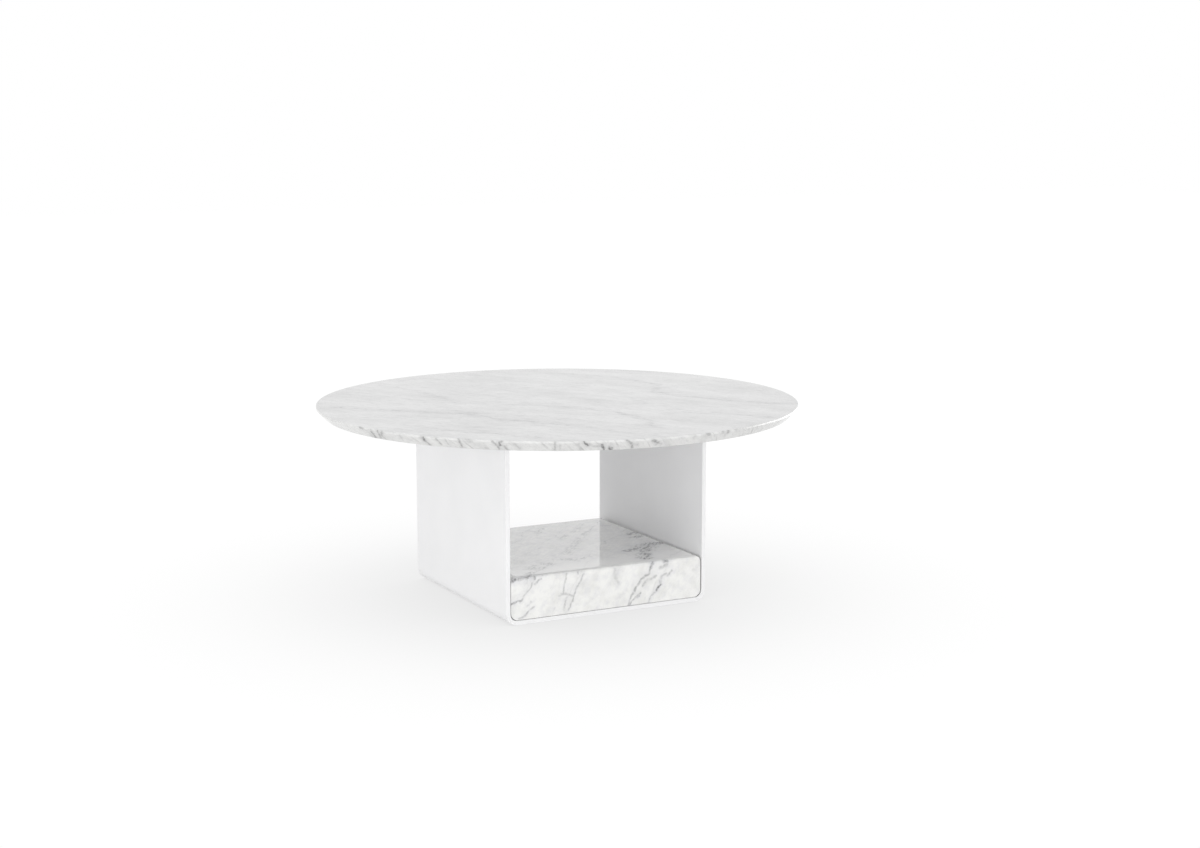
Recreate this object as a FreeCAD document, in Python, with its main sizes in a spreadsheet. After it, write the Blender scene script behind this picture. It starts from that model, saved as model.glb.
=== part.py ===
import FreeCAD, Part
import os
import Sketcher

# Round cocktail table: a marble disc with a reverse-bevelled rim stands on a base of bent steel plate.
# The base is a U, open to the front and back, and a marble block lies in it as ballast.
# X runs across the walls, the front faces -Y, and Z = 0 is the floor.

doc = FreeCAD.newDocument("cocktail_table")

# Driving sizes, in millimetres
SIZES = {
    # the whole table
    "table_height": 432.0,
    # marble top
    "top_diameter": 1067.0,
    "top_thickness": 23.0,
    "top_lip": 4.5,
    "top_bevel_inset": 18.5,
    "top_arris": 0.8,
    # bent plate base
    "base_width": 484.0,
    "base_depth": 484.0,
    "plate_thickness": 9.5,
    "bend_inner_radius": 16.0,
    "plate_arris": 0.8,
    # floor glides, set in recesses under the base
    "glide_diameter": 30.0,
    "glide_recess": 2.0,
    "glide_proud": 0.5,
    "glide_clearance": 0.2,
    "glide_wall_inset": 62.0,
    "glide_end_inset": 42.0,
    # mounting plate, welded in between the wall tops
    "mounting_thickness": 6.0,
    "mounting_setback": 40.0,
    "weld_leg": 5.0,
    "weld_length": 40.0,
    "weld_end_inset": 15.0,
    # screws, washers, inserts and pads that hold the top
    "screw_wall_inset": 46.0,
    "screw_end_inset": 40.0,
    "screw_diameter": 8.0,
    "screw_head_diameter": 14.0,
    "screw_head_height": 4.4,
    "screw_head_bevel": 2.0,
    "screw_engagement": 11.0,
    "socket_flats": 5.0,
    "socket_depth": 2.6,
    "screw_hole_room": 1.5,
    "washer_diameter": 20.0,
    "washer_thickness": 1.6,
    "washer_clearance": 0.2,
    "insert_diameter": 12.0,
    "insert_length": 13.0,
    "insert_clearance": 0.2,
    "insert_bore_clearance": 0.2,
    "top_pad_side": 36.0,
    "top_pad_thickness": 1.5,
    "top_pad_hole_room": 3.0,
    # marble ballast block and the pads that hold it off the steel
    "block_height": 93.5,
    "block_arris_radius": 2.0,
    "block_nose_radius": 10.0,
    "block_side_gap": 1.6,
    "block_front_setback": 0.5,
    "block_back_setback": 24.0,
    "block_pad_side": 40.0,
    "block_pad_thickness": 0.5,
    "block_pad_inset": 70.0,
    "side_pad_side": 25.0,
    "side_pad_inset": 70.0,
}

sheet = doc.addObject("Spreadsheet::Sheet", "sizes")
for row, (alias, value) in enumerate(SIZES.items(), start=1):
    sheet.set(f"A{row}", alias)
    sheet.set(f"B{row}", str(value))
    sheet.setAlias(f"B{row}", alias)
doc.recompute()

# Sizes and heights that follow from the driving ones, as expressions on the sheet
TOP_RADIUS = "(sizes.top_diameter / 2)"
TOP_UNDERSIDE = "(sizes.table_height - sizes.top_thickness)"
WALL_TOP = f"({TOP_UNDERSIDE} - sizes.top_pad_thickness)"
WALL_HEIGHT = f"({WALL_TOP} - sizes.glide_proud)"
INNER_HALF_WIDTH = "(sizes.base_width / 2 - sizes.plate_thickness)"
INNER_FLOOR = "(sizes.glide_proud + sizes.plate_thickness)"
MOUNTING_DEPTH = "(sizes.base_depth - 2 * sizes.mounting_setback)"
MOUNTING_UNDERSIDE = f"({WALL_TOP} - sizes.mounting_thickness)"
SCREW_X = f"({INNER_HALF_WIDTH} - sizes.screw_wall_inset)"
SCREW_Y = f"({MOUNTING_DEPTH} / 2 - sizes.screw_end_inset)"
WASHER_UNDERSIDE = f"({MOUNTING_UNDERSIDE} - sizes.washer_thickness)"
SCREW_LENGTH = (
    "(sizes.washer_thickness + sizes.mounting_thickness"
    " + sizes.top_pad_thickness + sizes.screw_engagement)"
)
BLOCK_WIDTH = f"(2 * {INNER_HALF_WIDTH} - 2 * sizes.block_side_gap)"
BLOCK_DEPTH = "(sizes.base_depth - sizes.block_front_setback - sizes.block_back_setback)"
BLOCK_CENTRE_Y = "((sizes.block_front_setback - sizes.block_back_setback) / 2)"
BLOCK_UNDERSIDE = f"({INNER_FLOOR} + sizes.block_pad_thickness)"
BLOCK_EDGE_RADIUS = "sizes.bend_inner_radius"
GLIDE_X = "(sizes.base_width / 2 - sizes.glide_wall_inset)"
GLIDE_Y = "(sizes.base_depth / 2 - sizes.glide_end_inset)"

# Shape tests allow this share of the piece's own size
NEAR_SHARE = 1e-6


def worked_out(expression):
    """The present value of an expression on the sheet, for the first draft of a sketch."""
    return sheet.evalExpression(expression)


def new_body(name):
    """An empty body whose label names its file."""
    body = doc.addObject("PartDesign::Body", name)
    body.Label = name
    return body


def place(item, x="0", y="0", z="0"):
    """Tie a piece's place to expressions on the sheet."""
    for axis, expression in (("x", x), ("y", y), ("z", z)):
        item.setExpression(f"Placement.Base.{axis}", expression)


def new_sketch(body, name, plane_role):
    """An empty sketch on one of the body's own origin planes."""
    sketch = body.newObject("Sketcher::SketchObject", name)
    plane = next(item for item in body.Origin.OriginFeatures if item.Role == plane_role)
    sketch.AttachmentSupport = (plane, [""])
    sketch.MapMode = "FlatFace"
    return sketch


def dimension(sketch, constraint, name, expression):
    """Add a driving dimension and tie it to the sheet."""
    index = sketch.addConstraint(constraint)
    sketch.renameConstraint(index, name)
    sketch.setExpression(f"Constraints.{name}", expression)


def closed_outline(sketch, points):
    """Lines through the points and back to the first, joined end to end."""
    lines = []
    for start, end in zip(points, points[1:] + points[:1]):
        segment = Part.LineSegment(FreeCAD.Vector(*start, 0), FreeCAD.Vector(*end, 0))
        lines.append(sketch.addGeometry(segment, False))
    for line, following in zip(lines, lines[1:] + lines[:1]):
        sketch.addConstraint(Sketcher.Constraint("Coincident", line, 2, following, 1))
    return lines


def level(sketch, lines):
    """Make lines run along the sketch's horizontal axis."""
    for line in lines:
        sketch.addConstraint(Sketcher.Constraint("Horizontal", line))


def upright(sketch, lines):
    """Make lines run along the sketch's vertical axis."""
    for line in lines:
        sketch.addConstraint(Sketcher.Constraint("Vertical", line))


def centred_rectangle(sketch, width, height):
    """A rectangle about the sketch's origin, as its four lines from the bottom one round."""
    half_width = worked_out(width) / 2
    half_height = worked_out(height) / 2
    corners = [
        (-half_width, -half_height),
        (half_width, -half_height),
        (half_width, half_height),
        (-half_width, half_height),
    ]
    lines = closed_outline(sketch, corners)
    level(sketch, [lines[0], lines[2]])
    upright(sketch, [lines[1], lines[3]])
    sketch.addConstraint(Sketcher.Constraint("Symmetric", lines[0], 1, lines[2], 1, -1, 1))
    dimension(
        sketch, Sketcher.Constraint("DistanceX", lines[0], 1, lines[0], 2, 2 * half_width), "width", width
    )
    dimension(
        sketch, Sketcher.Constraint("DistanceY", lines[1], 1, lines[1], 2, 2 * half_height), "height", height
    )
    return lines


def add_circle(sketch, centre, radius):
    """A circle about a point of the sketch's first draft."""
    return sketch.addGeometry(Part.Circle(centre, FreeCAD.Vector(0, 0, 1), worked_out(radius)), False)


def circles_on_corners(sketch, half_x, half_y, radius):
    """Equal circles on the corners of a construction rectangle about the origin."""
    grid = centred_rectangle(sketch, f"2 * {half_x}", f"2 * {half_y}")
    circles = []
    for line in grid:
        sketch.toggleConstruction(line)
        circle = add_circle(sketch, sketch.getPoint(line, 1), radius)
        sketch.addConstraint(Sketcher.Constraint("Coincident", circle, 3, line, 1))
        circles.append(circle)
    dimension(sketch, Sketcher.Constraint("Radius", circles[0], worked_out(radius)), "radius", radius)
    for circle in circles[1:]:
        sketch.addConstraint(Sketcher.Constraint("Equal", circles[0], circle))


def turned(body, name, steps):
    """A solid turned about Z from a closed outline.

    Each step is a radius and a height as expressions, from the axis at the foot, outwards and up.
    """
    sketch = new_sketch(body, f"{name}_outline", "XZ_Plane")
    points = [(worked_out(radius), worked_out(height)) for radius, height in steps]
    lines = closed_outline(sketch, points)
    for line, (radius, height), (x, z) in zip(lines, steps, points):
        if x:
            dimension(sketch, Sketcher.Constraint("DistanceX", -1, 1, line, 1, x), f"radius_{line}", radius)
        else:
            sketch.addConstraint(Sketcher.Constraint("PointOnObject", line, 1, -2))
        if z:
            dimension(sketch, Sketcher.Constraint("DistanceY", -1, 1, line, 1, z), f"height_{line}", height)
        else:
            sketch.addConstraint(Sketcher.Constraint("PointOnObject", line, 1, -1))
    solid = body.newObject("PartDesign::Revolution", name)
    solid.Profile = sketch
    solid.ReferenceAxis = (sketch, ["V_Axis"])
    solid.Angle = 360
    doc.recompute()
    return solid


def padded(body, name, sketch, length, both_ways):
    """A solid drawn out from a sketch, both ways from its plane or up from it."""
    solid = body.newObject("PartDesign::Pad", name)
    solid.Profile = sketch
    solid.setExpression("Length", length)
    solid.Midplane = both_ways
    doc.recompute()
    return solid


def cut_upwards(body, name, sketch, depth):
    """A pocket from a sketch at the piece's foot up into it."""
    before = body.Shape.Volume
    pocket = body.newObject("PartDesign::Pocket", name)
    pocket.Profile = sketch
    pocket.setExpression("Length", depth)
    pocket.Reversed = True
    doc.recompute()
    if body.Shape.Volume >= before:
        raise RuntimeError(f"{body.Label}: {name} cuts nothing")


def edges_like(solid, wanted):
    """Names of the edges of a solid that pass a test."""
    return [f"Edge{number}" for number, edge in enumerate(solid.Shape.Edges, start=1) if wanted(edge)]


def rounded(body, name, solid, wanted, radius):
    """Round the edges of a solid that pass a test."""
    fillet = body.newObject("PartDesign::Fillet", name)
    fillet.Base = (solid, edges_like(solid, wanted))
    fillet.setExpression("Radius", radius)
    doc.recompute()
    return fillet


def eased(body, name, solid, wanted, width):
    """Take the sharpness off the edges of a solid that pass a test, with a narrow chamfer."""
    chamfer = body.newObject("PartDesign::Chamfer", name)
    chamfer.Base = (solid, edges_like(solid, wanted))
    chamfer.setExpression("Size", width)
    doc.recompute()
    return chamfer


def along_y(edge):
    """True for a straight edge that runs from front to back."""
    return edge.BoundBox.YLength > (1 - NEAR_SHARE) * edge.Length


def at_an_end(edge, half_depth):
    """True for an edge that lies wholly in the front or the back face."""
    near = NEAR_SHARE * half_depth
    return edge.BoundBox.YLength < near and abs(abs(edge.BoundBox.YMin) - half_depth) < near


def along_x_above(edge):
    """True for a straight edge that runs from side to side in the upper half of a centred piece."""
    return edge.BoundBox.XLength > (1 - NEAR_SHARE) * edge.Length and edge.BoundBox.ZMin > 0


def repeated(name, piece, places):
    """One node of separate solids: links to a piece, each in its own place and turn about Z."""
    links = []
    for number, (x, y, z, turn) in enumerate(places, start=1):
        link = doc.addObject("App::Link", f"{name}_{number}")
        link.LinkedObject = piece
        link.LinkTransform = False
        link.Placement.Rotation = FreeCAD.Rotation(FreeCAD.Vector(0, 0, 1), turn)
        place(link, x, y, z)
        links.append(link)
    group = doc.addObject("Part::Compound", name)
    group.Links = links
    group.Label = name
    doc.recompute()
    return group


# Signs of the corners, with the names that the pieces there carry
CORNERS = {
    "front_left": ("-1", "-1"),
    "front_right": ("1", "-1"),
    "back_left": ("-1", "1"),
    "back_right": ("1", "1"),
}
SCREW_PLACES = {name: (f"{x} * {SCREW_X}", f"{y} * {SCREW_Y}") for name, (x, y) in CORNERS.items()}

pieces = []

# Marble top: a turned slab with a thin upright lip and a reverse bevel under it,
# eased along its edges and drilled blind from below for the threaded inserts
marble_top = new_body("marble_top")
slab = turned(
    marble_top,
    "slab",
    [
        ("0", "0"),
        (f"{TOP_RADIUS} - sizes.top_bevel_inset", "0"),
        (TOP_RADIUS, "sizes.top_thickness - sizes.top_lip"),
        (TOP_RADIUS, "sizes.top_thickness"),
        ("0", "sizes.top_thickness"),
    ],
)
eased(
    marble_top,
    "eased_rim",
    slab,
    lambda edge: edge.Closed and edge.Curve.TypeId == "Part::GeomCircle",
    "sizes.top_arris",
)
insert_holes = new_sketch(marble_top, "insert_hole_places", "XY_Plane")
circles_on_corners(insert_holes, SCREW_X, SCREW_Y, "sizes.insert_diameter / 2 + sizes.insert_clearance")
cut_upwards(marble_top, "insert_holes", insert_holes, "sizes.insert_length")
place(marble_top, z=TOP_UNDERSIDE)
pieces.append(marble_top)

# Steel base: one plate bent twice into a U, with recesses under it for the floor glides
steel_base = new_body("steel_base")
section = new_sketch(steel_base, "u_section", "XZ_Plane")
half_width = worked_out("sizes.base_width") / 2
inner_half_width = worked_out(INNER_HALF_WIDTH)
wall_height = worked_out(WALL_HEIGHT)
thickness = worked_out("sizes.plate_thickness")
foot, right_out, right_top, right_in, inner_floor, left_in, left_top, left_out = closed_outline(
    section,
    [
        (-half_width, 0),
        (half_width, 0),
        (half_width, wall_height),
        (inner_half_width, wall_height),
        (inner_half_width, thickness),
        (-inner_half_width, thickness),
        (-inner_half_width, wall_height),
        (-half_width, wall_height),
    ],
)
level(section, [right_top, inner_floor, left_top])
upright(section, [right_out, right_in, left_in, left_out])
section.addConstraint(Sketcher.Constraint("PointOnObject", foot, 1, -1))
section.addConstraint(Sketcher.Constraint("Symmetric", foot, 1, foot, 2, -2))
section.addConstraint(Sketcher.Constraint("Equal", right_out, left_out))
section.addConstraint(Sketcher.Constraint("Equal", right_top, left_top))
dimension(
    section, Sketcher.Constraint("DistanceX", foot, 1, foot, 2, 2 * half_width), "width", "sizes.base_width"
)
dimension(
    section, Sketcher.Constraint("DistanceY", right_out, 1, right_out, 2, wall_height), "wall", WALL_HEIGHT
)
dimension(
    section,
    Sketcher.Constraint("DistanceX", right_top, 2, right_top, 1, thickness),
    "wall_plate",
    "sizes.plate_thickness",
)
dimension(
    section,
    Sketcher.Constraint("DistanceY", foot, 2, right_in, 2, thickness),
    "floor_plate",
    "sizes.plate_thickness",
)
plate = padded(steel_base, "plate", section, "sizes.base_depth", both_ways=True)
inner_bends = rounded(
    steel_base,
    "inner_bends",
    plate,
    lambda edge: along_y(edge) and abs(edge.BoundBox.ZMax - thickness) < NEAR_SHARE * half_width,
    "sizes.bend_inner_radius",
)
outer_bends = rounded(
    steel_base,
    "outer_bends",
    inner_bends,
    lambda edge: along_y(edge) and edge.BoundBox.ZMax < NEAR_SHARE * half_width,
    "sizes.bend_inner_radius + sizes.plate_thickness",
)
base_half_depth = worked_out("sizes.base_depth") / 2
eased(
    steel_base,
    "eased_edges",
    outer_bends,
    lambda edge: at_an_end(edge, base_half_depth),
    "sizes.plate_arris",
)
recesses = new_sketch(steel_base, "glide_recess_places", "XY_Plane")
circles_on_corners(recesses, GLIDE_X, GLIDE_Y, "sizes.glide_diameter / 2 + sizes.glide_clearance")
cut_upwards(steel_base, "glide_recesses", recesses, "sizes.glide_recess")
place(steel_base, z="sizes.glide_proud")
pieces.append(steel_base)

# Mounting plate: flat steel let in flush between the wall tops, with oversize holes for the top's screws
mounting_plate = new_body("mounting_plate")
flat = new_sketch(mounting_plate, "plate_outline", "XY_Plane")
centred_rectangle(flat, f"2 * {INNER_HALF_WIDTH}", MOUNTING_DEPTH)
padded(mounting_plate, "flat_plate", flat, "sizes.mounting_thickness", both_ways=False)
screw_holes = new_sketch(mounting_plate, "screw_hole_places", "XY_Plane")
circles_on_corners(screw_holes, SCREW_X, SCREW_Y, "sizes.screw_diameter / 2 + sizes.screw_hole_room")
cut_upwards(mounting_plate, "screw_holes", screw_holes, "sizes.mounting_thickness")
place(mounting_plate, z=MOUNTING_UNDERSIDE)
pieces.append(mounting_plate)

# Stitch welds in the corner under the mounting plate, three along each wall
weld = new_body("weld_stitch")
bead = new_sketch(weld, "bead_section", "XZ_Plane")
leg = worked_out("sizes.weld_leg")
bead_top, bead_wall, bead_face = closed_outline(bead, [(-leg, 0), (0, 0), (0, -leg)])
level(bead, [bead_top])
upright(bead, [bead_wall])
bead.addConstraint(Sketcher.Constraint("Coincident", bead_top, 2, -1, 1))
bead.addConstraint(Sketcher.Constraint("Equal", bead_top, bead_wall))
dimension(bead, Sketcher.Constraint("DistanceX", bead_top, 1, bead_top, 2, leg), "leg", "sizes.weld_leg")
padded(weld, "stitch", bead, "sizes.weld_length", both_ways=True)
WELD_Y = f"({MOUNTING_DEPTH} / 2 - sizes.weld_end_inset - sizes.weld_length / 2)"
weld_places = []
for along in ("-1", "0", "1"):
    weld_places.append((INNER_HALF_WIDTH, f"{along} * {WELD_Y}", MOUNTING_UNDERSIDE, 0))
    weld_places.append((f"-{INNER_HALF_WIDTH}", f"{along} * {WELD_Y}", MOUNTING_UNDERSIDE, 180))
pieces.append(repeated("mounting_welds", weld, weld_places))

# Threaded inserts: turned brass sleeves bonded into the blind holes of the top
insert = new_body("insert")
INSERT_BORE = "sizes.screw_diameter / 2 + sizes.insert_bore_clearance"
turned(
    insert,
    "sleeve",
    [
        (INSERT_BORE, "0"),
        ("sizes.insert_diameter / 2", "0"),
        ("sizes.insert_diameter / 2", "sizes.insert_length"),
        (INSERT_BORE, "sizes.insert_length"),
    ],
)
insert_places = [(x, y, TOP_UNDERSIDE, 0) for x, y in SCREW_PLACES.values()]
pieces.append(repeated("threaded_inserts", insert, insert_places))

# Top screws: bevelled heads with a hexagon socket, driven up through the mounting plate
screw = new_body("screw")
turned(
    screw,
    "head_and_shank",
    [
        ("0", "-sizes.screw_head_height"),
        ("sizes.screw_head_diameter / 2 - sizes.screw_head_bevel", "-sizes.screw_head_height"),
        ("sizes.screw_head_diameter / 2", "sizes.screw_head_bevel - sizes.screw_head_height"),
        ("sizes.screw_head_diameter / 2", "0"),
        ("sizes.screw_diameter / 2", "0"),
        ("sizes.screw_diameter / 2", SCREW_LENGTH),
        ("0", SCREW_LENGTH),
    ],
)
socket = new_sketch(screw, "socket_outline", "XY_Plane")
socket.setExpression("AttachmentOffset.Base.z", "-sizes.screw_head_height")
SOCKET_SIDE = "sizes.socket_flats / sqrt(3)"
side = worked_out(SOCKET_SIDE)
rim = socket.addGeometry(Part.Circle(FreeCAD.Vector(), FreeCAD.Vector(0, 0, 1), side), True)
socket.addConstraint(Sketcher.Constraint("Coincident", rim, 3, -1, 1))
dimension(socket, Sketcher.Constraint("Radius", rim, side), "corners", SOCKET_SIDE)
HEXAGON_SIDES = 6
corner = FreeCAD.Vector(side, 0, 0)
turn = FreeCAD.Rotation(FreeCAD.Vector(0, 0, 1), 360 / HEXAGON_SIDES)
corner_points = []
for count in range(HEXAGON_SIDES):
    corner_points.append((corner.x, corner.y))
    corner = turn.multVec(corner)
flats = closed_outline(socket, corner_points)
for line in flats:
    socket.addConstraint(Sketcher.Constraint("PointOnObject", line, 1, rim))
for line in flats[1:]:
    socket.addConstraint(Sketcher.Constraint("Equal", flats[0], line))
socket.addConstraint(Sketcher.Constraint("PointOnObject", flats[0], 1, -1))
cut_upwards(screw, "socket", socket, "sizes.socket_depth")
screw_places = [(x, y, WASHER_UNDERSIDE, 0) for x, y in SCREW_PLACES.values()]
pieces.append(repeated("top_screws", screw, screw_places))

# Washers under the screw heads, wide enough to cover the oversize holes
washer = new_body("washer")
WASHER_BORE = "sizes.screw_diameter / 2 + sizes.washer_clearance"
turned(
    washer,
    "ring",
    [
        (WASHER_BORE, "0"),
        ("sizes.washer_diameter / 2", "0"),
        ("sizes.washer_diameter / 2", "sizes.washer_thickness"),
        (WASHER_BORE, "sizes.washer_thickness"),
    ],
)
pieces.append(repeated("top_washers", washer, screw_places))

# Top pads: soft squares pierced for the screws, which carry the slab clear of the steel
PAD_BORE = "sizes.screw_diameter / 2 + sizes.top_pad_hole_room"
for corner_name, (x, y) in SCREW_PLACES.items():
    pad = new_body(f"top_pad_{corner_name}")
    pad_outline = new_sketch(pad, f"{pad.Name}_outline", "XY_Plane")
    centred_rectangle(pad_outline, "sizes.top_pad_side", "sizes.top_pad_side")
    bore = add_circle(pad_outline, FreeCAD.Vector(), PAD_BORE)
    pad_outline.addConstraint(Sketcher.Constraint("Coincident", bore, 3, -1, 1))
    dimension(pad_outline, Sketcher.Constraint("Radius", bore, worked_out(PAD_BORE)), "bore", PAD_BORE)
    padded(pad, f"{pad.Name}_square", pad_outline, "sizes.top_pad_thickness", both_ways=False)
    place(pad, x, y, WALL_TOP)
    pieces.append(pad)

# Marble block: drawn out along Y, with long edges rounded like the bends of the plate that it nests in.
# What it has in common with an envelope gives it its rounded upper noses at the front and back.
marble_block = new_body("marble_block")
block_section = new_sketch(marble_block, "block_section", "XZ_Plane")
centred_rectangle(block_section, BLOCK_WIDTH, "sizes.block_height")
block = padded(marble_block, "block", block_section, BLOCK_DEPTH, both_ways=True)
long_edges = rounded(marble_block, "long_edges", block, along_y, BLOCK_EDGE_RADIUS)
block_half_depth = worked_out(BLOCK_DEPTH) / 2
rounded(
    marble_block,
    "eased_ends",
    long_edges,
    lambda edge: at_an_end(edge, block_half_depth),
    "sizes.block_arris_radius",
)
block_envelope = new_body("block_envelope")
envelope_section = new_sketch(block_envelope, "envelope_section", "XZ_Plane")
centred_rectangle(envelope_section, BLOCK_WIDTH, "sizes.block_height")
envelope = padded(block_envelope, "envelope", envelope_section, BLOCK_DEPTH, both_ways=True)
rounded(block_envelope, "noses", envelope, along_x_above, "sizes.block_nose_radius")
nosed_block = marble_block.newObject("PartDesign::Boolean", "nosed_block")
nosed_block.Type = "Common"
nosed_block.setObjects([block_envelope])
doc.recompute()
place(marble_block, y=BLOCK_CENTRE_Y, z=f"{BLOCK_UNDERSIDE} + sizes.block_height / 2")
pieces.append(marble_block)

# Block pads: soft squares that the block lies on
for corner_name, (x, y) in CORNERS.items():
    pad = new_body(f"block_pad_{corner_name}")
    pad_outline = new_sketch(pad, f"{pad.Name}_outline", "XY_Plane")
    centred_rectangle(pad_outline, "sizes.block_pad_side", "sizes.block_pad_side")
    padded(pad, f"{pad.Name}_square", pad_outline, "sizes.block_pad_thickness", both_ways=False)
    place(
        pad,
        f"{x} * ({BLOCK_WIDTH} / 2 - sizes.block_pad_inset)",
        f"{BLOCK_CENTRE_Y} + {y} * ({BLOCK_DEPTH} / 2 - sizes.block_pad_inset)",
        INNER_FLOOR,
    )
    pieces.append(pad)

# Side pads: soft squares that keep the block off the walls
for corner_name, (x, y) in CORNERS.items():
    pad = new_body(f"side_pad_{corner_name}")
    pad_outline = new_sketch(pad, f"{pad.Name}_outline", "YZ_Plane")
    centred_rectangle(pad_outline, "sizes.side_pad_side", "sizes.side_pad_side")
    padded(pad, f"{pad.Name}_square", pad_outline, "sizes.block_side_gap", both_ways=True)
    place(
        pad,
        f"{x} * ({INNER_HALF_WIDTH} - sizes.block_side_gap / 2)",
        f"{BLOCK_CENTRE_Y} + {y} * ({BLOCK_DEPTH} / 2 - sizes.side_pad_inset)",
        f"{BLOCK_UNDERSIDE} + sizes.block_height / 2",
    )
    pieces.append(pad)

# Floor glides: moulded discs pressed into the recesses, standing a little proud of the plate
for corner_name, (x, y) in CORNERS.items():
    glide = new_body(f"floor_glide_{corner_name}")
    turned(
        glide,
        f"{glide.Name}_disc",
        [
            ("0", "0"),
            ("sizes.glide_diameter / 2", "0"),
            ("sizes.glide_diameter / 2", "sizes.glide_proud + sizes.glide_recess"),
            ("0", "sizes.glide_proud + sizes.glide_recess"),
        ],
    )
    place(glide, f"{x} * {GLIDE_X}", f"{y} * {GLIDE_Y}", "0")
    pieces.append(glide)

# Everything is checked before any file is written
doc.recompute()
for item in doc.Objects:
    if "Invalid" in item.State or "Error" in item.State:
        raise RuntimeError(f"{item.Label} failed: {item.State}")
for piece in pieces:
    if piece.Shape.isNull() or not piece.Shape.isValid():
        raise RuntimeError(f"{piece.Label} has no sound shape")

os.makedirs("parts", exist_ok=True)
for piece in pieces:
    piece.Shape.exportStep(f"parts/{piece.Label}.step")
    print(piece.Label, len(piece.Shape.Solids), round(piece.Shape.Volume))
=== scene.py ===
from math import cos, radians, sin

import bmesh
import bpy
from mathutils import Matrix, Vector


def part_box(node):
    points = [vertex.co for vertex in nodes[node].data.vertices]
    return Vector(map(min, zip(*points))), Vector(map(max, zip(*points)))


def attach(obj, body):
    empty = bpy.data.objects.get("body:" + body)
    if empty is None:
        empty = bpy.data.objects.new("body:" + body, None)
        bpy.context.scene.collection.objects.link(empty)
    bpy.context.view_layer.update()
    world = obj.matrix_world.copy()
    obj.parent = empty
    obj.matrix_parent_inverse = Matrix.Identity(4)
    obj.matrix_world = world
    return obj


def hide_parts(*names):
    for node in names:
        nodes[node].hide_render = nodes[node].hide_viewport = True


# Round cocktail table: a bevelled marble disc on a U of white steel plate, with a marble block in the U.
# Metres; X runs across the two walls, the open front faces -Y, and Z = 0 is the floor.
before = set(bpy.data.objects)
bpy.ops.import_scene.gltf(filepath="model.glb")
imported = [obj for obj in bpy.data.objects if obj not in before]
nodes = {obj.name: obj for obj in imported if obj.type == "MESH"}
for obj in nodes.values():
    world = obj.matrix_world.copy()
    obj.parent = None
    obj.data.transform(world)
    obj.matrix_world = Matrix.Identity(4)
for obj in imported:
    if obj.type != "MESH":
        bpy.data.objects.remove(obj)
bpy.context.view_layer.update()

# Steel base
# One thick steel plate, bent twice into a U that is open to the front and back.
# Its cut edges are ground a little round, and it is powder coated satin white all over.
PLATE_OUTER_BEND = 0.0255
PLATE_ARRIS = 0.0008
BEND_SEGMENTS = 14
ARRIS_SEGMENTS = 3
SHARP_ANGLE = radians(50)
FLAT_FACE_WEIGHT = 100
COAT_WHITE = (0.9, 0.9, 0.905, 1)
COAT_SHADE = (0.88, 0.88, 0.885, 1)
COAT_CLOUD_SCALE = 9
COAT_CLOUD_SPAN = (0.35, 0.65)
COAT_PEEL_SCALE = 620
COAT_PEEL_DEPTH = 0.00012
COAT_ROUGHNESS = (0.42, 0.52)
# Nearly all of a soft noise lies between these two values.
NOISE_SPAN = (0.3, 0.7)

base_low, base_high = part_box("steel_base")
# The block's pads lie on the plate, so its thickness is read from where they begin.
plate_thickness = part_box("block_pad_front_left")[0].z - base_low.z


def verts_in(geometry):
    """The vertices among what an operator gives back."""
    return [item for item in geometry if isinstance(item, bmesh.types.BMVert)]


def edges_bent_past(shape, angle):
    """Edges whose two faces turn from each other by more than an angle."""
    folds = [edge for edge in shape.edges if len(edge.link_faces) == 2]
    return [edge for edge in folds if edge.calc_face_angle() > angle]


def sharp_edges(shape):
    """Edges that would show as a sharp corner."""
    return edges_bent_past(shape, SHARP_ANGLE)


def bevel_edges(shape, edges, width, segments):
    """Round edges to a circular profile."""
    bmesh.ops.bevel(
        shape, geom=edges, offset=width, segments=segments, profile=0.5, affect="EDGES", material=-1
    )


def finished_piece(shape, name, material, slot, *replaced):
    """Turn a shape into a smooth-shaded piece of the table that stands for CAD nodes."""
    bmesh.ops.recalc_face_normals(shape, faces=shape.faces)
    for face in shape.faces:
        face.smooth = True
    mesh = bpy.data.meshes.new(name)
    shape.to_mesh(mesh)
    shape.free()
    mesh.materials.append(material)
    piece = bpy.data.objects.new(name, mesh)
    bpy.context.scene.collection.objects.link(piece)
    flat_faces_first = piece.modifiers.new("flat_faces_first", "WEIGHTED_NORMAL")
    flat_faces_first.weight = FLAT_FACE_WEIGHT
    flat_faces_first.keep_sharp = True
    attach(piece, "root")
    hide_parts(*replaced)
    return piece


def place_node(tree, kind, inputs=None, **settings):
    """Put a shader node in a tree, with its settings and with its inputs filled or connected."""
    made = tree.nodes.new(kind)
    for setting, value in settings.items():
        setattr(made, setting, value)
    for socket, value in (inputs or {}).items():
        if isinstance(value, bpy.types.NodeSocket):
            tree.links.new(value, made.inputs[socket])
        else:
            made.inputs[socket].default_value = value
    return made


def blend_colours(tree, amount, first, second):
    """The colour between two, by an amount from 0 to 1."""
    mix = place_node(tree, "ShaderNodeMix", {0: amount, 6: first, 7: second}, data_type="RGBA")
    return mix.outputs[2]


def between(tree, value, low, high, low_gives, high_gives, easing="LINEAR"):
    """A value from a range carried over to another range."""
    made = place_node(
        tree,
        "ShaderNodeMapRange",
        {0: value, 1: low, 2: high, 3: low_gives, 4: high_gives},
        interpolation_type=easing,
    )
    return made.outputs[0]


def calculate(tree, operation, first, second=0.0):
    """One step of arithmetic on values."""
    return place_node(tree, "ShaderNodeMath", {0: first, 1: second}, operation=operation).outputs[0]


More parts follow.
